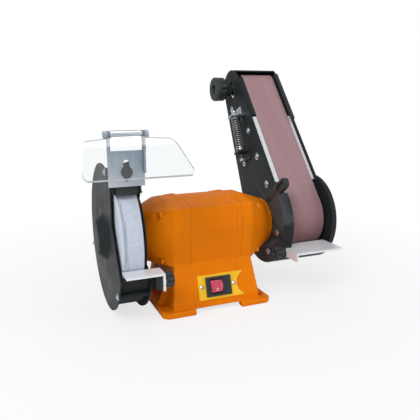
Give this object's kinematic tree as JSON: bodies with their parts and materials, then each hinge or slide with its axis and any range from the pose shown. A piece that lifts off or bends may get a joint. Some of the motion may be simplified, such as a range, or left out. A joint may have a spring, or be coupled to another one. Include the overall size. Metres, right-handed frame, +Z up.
{
  "type": "bench grinder with belt sander arm",
  "caption": "Small bench grinder with a guarded grinding wheel and eye shield on one end of the motor and a leaning belt sander arm on the other.",
  "frame": {"origin": "centre of the four bench bolt holes on the bench plane", "axes": "+X along the motor shaft towards the belt arm, +Y to the back, +Z up"},
  "size_m": [0.3337, 0.2777, 0.2961],
  "materials": {
    "orange_casting": "painted satin",
    "black_sheet": "painted satin",
    "zinc_steel": "zinc plated",
    "bright_steel": "machined",
    "black_bolt": "black oxide",
    "abrasive_wheel": "bonded grit",
    "abrasive_belt": "coated grit",
    "tyre_rubber": "matte",
    "black_plastic": "moulded",
    "yellow_plate": "satin",
    "red_rocker": "gloss",
    "clear_sheet": "clear polycarbonate",
    "copper_wire": "enamelled",
    "core_steel": "laminated",
    "white_plastic": "moulded",
    "card": "card"
  },
  "bodies": {
    "base": {"motor_shell": "orange_casting", "left_end_casting": "orange_casting", "right_end_casting": "orange_casting", "through_bolts": "zinc_steel", "stator_core": "core_steel", "stator_windings": "copper_wire", "shaft_bearings": "bright_steel", "bottom_plate": "black_sheet", "capacitor": "white_plastic", "terminal_block": "white_plastic", "switch_plate": "yellow_plate", "switch_body": "black_plastic", "switch_plate_screws": "zinc_steel", "cable_gland": "black_plastic", "inner_guard": "black_sheet", "guard_cover": "black_sheet", "guard_cover_screws": "zinc_steel", "guard_mount_screws": "zinc_steel", "rest_support": "black_sheet", "rest_support_bolt": "black_bolt", "shield_bracket_bolt": "black_bolt", "arm_clamp_ring": "zinc_steel", "arm_clamp_screws": "zinc_steel"},
    "spindle": {"motor_shaft": "bright_steel", "rotor_core": "core_steel", "grinding_wheel": "abrasive_wheel", "wheel_flanges": "bright_steel", "wheel_blotters": "card", "wheel_nut": "zinc_steel", "drum_hub": "bright_steel", "drum_tyre": "tyre_rubber", "drum_nut": "zinc_steel"},
    "belt_arm": {"drum_guard": "black_sheet", "arm_plate": "black_sheet", "arm_spacers": "zinc_steel", "outer_cover": "black_sheet", "cover_posts": "zinc_steel", "outer_cover_screws": "zinc_steel", "top_hood": "black_sheet", "platen": "bright_steel", "platen_screws": "zinc_steel", "sanding_belt": "abrasive_belt", "slide_pins": "zinc_steel", "lower_spring_bracket": "black_sheet", "tension_spring": "bright_steel"},
    "slider": {"slide_plate": "zinc_steel", "upper_spring_bracket": "zinc_steel", "tension_rod": "zinc_steel"},
    "idler_mount": {"idler_carrier": "bright_steel"},
    "idler": {"idler_roller": "bright_steel"},
    "tracking": {"tracking_knob": "black_plastic"},
    "lever": {"tension_lever": "black_plastic"},
    "belt_rest": {"belt_tool_rest": "zinc_steel"},
    "belt_rest_clamp": {"belt_rest_knob": "black_plastic"},
    "bracket": {"shield_bracket": "zinc_steel", "shield_hinge_bolt": "black_bolt"},
    "shield": {"eye_shield": "clear_sheet"},
    "wheel_rest": {"wheel_tool_rest": "zinc_steel"},
    "wheel_rest_clamp": {"wheel_rest_knob": "black_plastic"},
    "rocker": {"switch_rocker": "red_rocker"}
  },
  "joints": [
    {"name": "spindle_spin", "type": "hinge", "parent": "base", "child": "spindle", "pos_m": [0, 0, 0.092], "axis": [1, 0, 0], "continuous": true},
    {"name": "arm_tilt", "type": "hinge", "parent": "base", "child": "belt_arm", "pos_m": [0.09, 0, 0.092], "axis": [1, 0, 0], "range_deg": [-50, 39]},
    {"name": "tension_slide", "type": "slide", "parent": "belt_arm", "child": "slider", "axis": [0, 0.3971, 0.9178], "range_m": [-0.006, 0], "stiffness_N_per_m": 1500, "springref_m": 0.012, "deforming": ["tension_spring", "sanding_belt"]},
    {"name": "lever_turn", "type": "hinge", "parent": "belt_arm", "child": "lever", "pos_m": [0.096, -0.01176, 0.12495], "axis": [1, 0, 0], "range_deg": [-61, 1]},
    {"name": "tracking_turn", "type": "hinge", "parent": "slider", "child": "tracking", "pos_m": [0.087, 0.12663, 0.26795], "axis": [1, 0, 0], "range_deg": [-180, 180]},
    {"name": "tracking_tilt", "type": "hinge", "parent": "slider", "child": "idler_mount", "pos_m": [0.1075, 0.11883, 0.27133], "axis": [0, -0.9178, 0.3971], "range_deg": [-1.6, 1.6]},
    {"name": "idler_spin", "type": "hinge", "parent": "idler_mount", "child": "idler", "pos_m": [0.1375, 0.11883, 0.27133], "axis": [1, 0, 0], "continuous": true},
    {"name": "belt_rest_tilt", "type": "hinge", "parent": "belt_arm", "child": "belt_rest", "pos_m": [0.093, -0.05489, 0.06107], "axis": [1, 0, 0], "range_deg": [-15, 15]},
    {"name": "belt_rest_knob_turn", "type": "hinge", "parent": "belt_arm", "child": "belt_rest_clamp", "pos_m": [0.085, -0.05489, 0.06107], "axis": [1, 0, 0], "range_deg": [-180, 180]},
    {"name": "wheel_rest_slide", "type": "slide", "parent": "base", "child": "wheel_rest", "axis": [0, 1, 0], "range_m": [-0.005, 0.0015]},
    {"name": "wheel_rest_knob_turn", "type": "hinge", "parent": "base", "child": "wheel_rest_clamp", "pos_m": [-0.072, -0.0867, 0.0595], "axis": [1, 0, 0], "range_deg": [-180, 180]},
    {"name": "shield_bracket_slide", "type": "slide", "parent": "base", "child": "bracket", "axis": [0, 0, 1], "range_m": [-0.008, 0.005]},
    {"name": "eye_shield_tilt", "type": "hinge", "parent": "bracket", "child": "shield", "pos_m": [-0.1065, -0.06317, 0.21694], "axis": [1, 0, 0], "range_deg": [-40, 12]},
    {"name": "switch_rock", "type": "hinge", "parent": "base", "child": "rocker", "pos_m": [0.002, -0.04992, 0.02819], "axis": [1, 0, 0], "range_deg": [-8, 8]}
  ],
  "couplings": [
    {"joint": "idler_spin", "follows": "spindle_spin", "ratio": 2.2865},
    {"joint": "lever_turn", "follows": "tension_slide", "rad_per_m": 174.53},
    {"joint": "tracking_tilt", "follows": "tracking_turn", "ratio": 0.008333}
  ]
}
